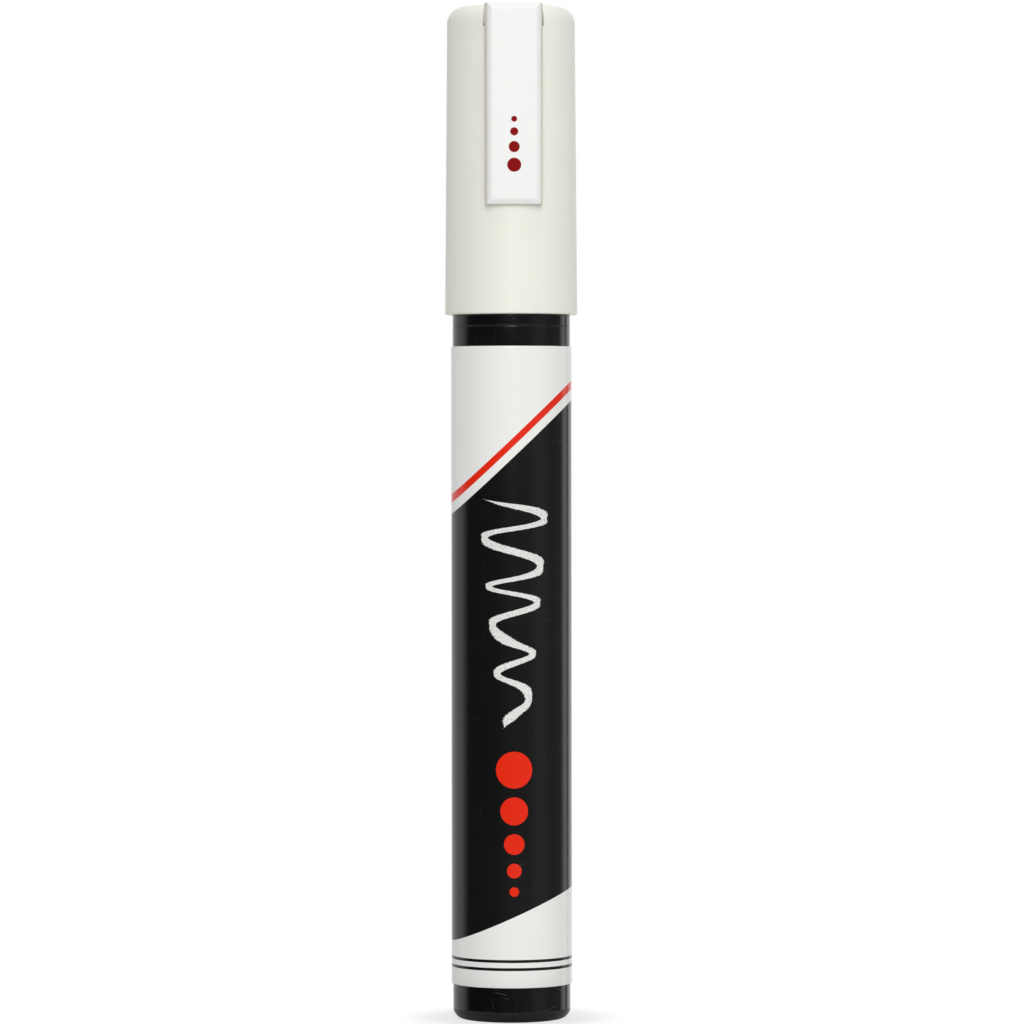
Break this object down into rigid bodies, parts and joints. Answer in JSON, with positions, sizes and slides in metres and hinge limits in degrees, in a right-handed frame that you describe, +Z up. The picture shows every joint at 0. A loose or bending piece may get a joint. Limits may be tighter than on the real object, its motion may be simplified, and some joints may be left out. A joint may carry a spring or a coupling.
{
  "type": "liquid chalk marker",
  "caption": "Capped liquid chalk marker: slim black barrel with a printed sleeve, ivory pull-off cap with a flat clip, sprung valve and bullet nib.",
  "frame": {"origin": "centre of the flat foot of the barrel", "axes": "+Z up the marker's axis from the foot to the cap; the cap's clip faces -Y"},
  "size_m": [0.018, 0.0192, 0.1385],
  "materials": {
    "black_plastic": "glossy black polypropylene",
    "printed_film": "satin printed film",
    "holder_plastic": "glossy black polypropylene",
    "natural_plastic": "natural polypropylene",
    "gasket_rubber": "black rubber",
    "stem_plastic": "white acetal",
    "spring_steel": "bright drawn stainless wire",
    "nib_fibre": "pressed polyester fibre",
    "ball_steel": "polished steel",
    "ivory_plastic": "satin ivory polypropylene",
    "soft_plastic": "natural soft polyethylene",
    "white_plastic": "satin white polypropylene"
  },
  "bodies": {
    "marker": {"barrel": "black_plastic", "label_sleeve": "printed_film", "front_holder": "holder_plastic", "valve_case": "natural_plastic", "valve_gasket": "gasket_rubber", "valve_spring": "spring_steel"},
    "cap": {"cap_shell": "ivory_plastic", "inner_cap": "soft_plastic"},
    "clip": {"cap_clip": "white_plastic"},
    "nib": {"nib": "nib_fibre"},
    "stem": {"valve_stem": "stem_plastic"},
    "ball": {"mixing_ball": "ball_steel"}
  },
  "joints": [
    {"name": "cap_pull", "type": "slide", "parent": "marker", "child": "cap", "axis": [0, 0, 1], "range_m": [0, 0.045]},
    {"name": "clip_flex", "type": "hinge", "parent": "cap", "child": "clip", "pos_m": [0, -0.0046, 0.137], "axis": [-1, 0, 0], "range_deg": [0, 5], "stiffness_Nm_per_rad": 0.15, "springref_deg": -2.86},
    {"name": "nib_press", "type": "slide", "parent": "marker", "child": "nib", "axis": [0, 0, -1], "range_m": [0, 0.002], "stiffness_N_per_m": 350, "springref_m": -0.002},
    {"name": "valve_lift", "type": "slide", "parent": "marker", "child": "stem", "axis": [0, 0, -1], "range_m": [0, 0.002], "deforming": ["valve_spring"]},
    {"name": "ball_roll", "type": "slide", "parent": "marker", "child": "ball", "axis": [0, 0, 1], "range_m": [0, 0.0745]}
  ],
  "couplings": [
    {"joint": "valve_lift", "follows": "nib_press", "ratio": 1}
  ]
}
